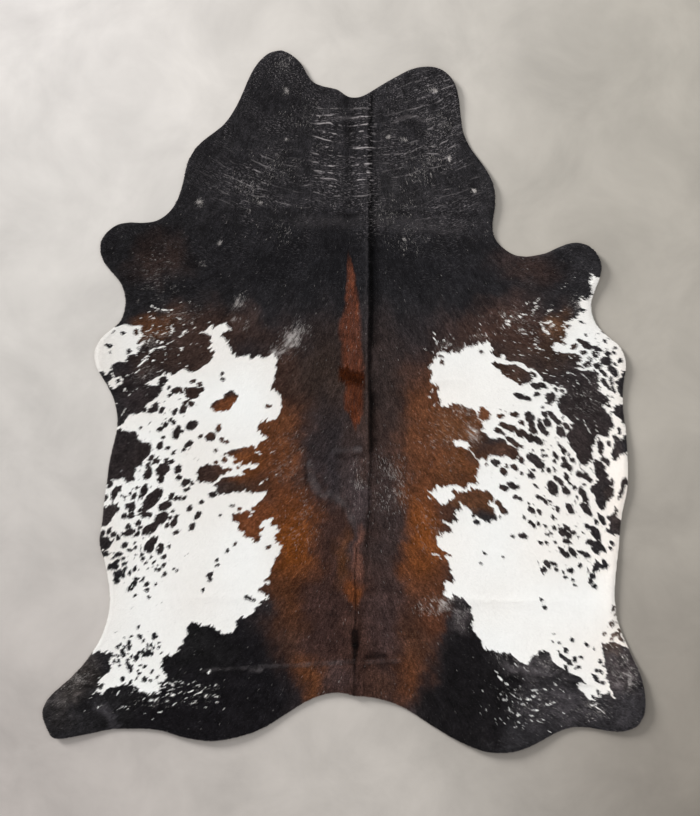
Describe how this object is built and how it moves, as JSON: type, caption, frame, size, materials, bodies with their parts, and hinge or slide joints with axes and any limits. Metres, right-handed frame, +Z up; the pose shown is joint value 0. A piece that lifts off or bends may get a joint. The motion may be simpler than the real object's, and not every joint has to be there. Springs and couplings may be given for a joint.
{
  "type": "cowhide rug",
  "caption": "Whole cowhide rug with its hair on, lying flat hair side up, with neck, foreleg and hind leg lobes, a fold along the spine and shallow creases.",
  "frame": {"origin": "middle of the hide's bounding box, on the floor that it lies on", "axes": "+Y towards the neck, along the spine; +X across the hide, to the right seen from above with the neck up; +Z up, out of the hair side"},
  "size_m": [1.925, 2.246, 0.0162],
  "materials": {
    "hair_on_hide": "short, glossy, flat-lying hair in black, brown and white over bare skin"
  },
  "bodies": {
    "root": {"hide": "hair_on_hide"}
  },
  "joints": []
}
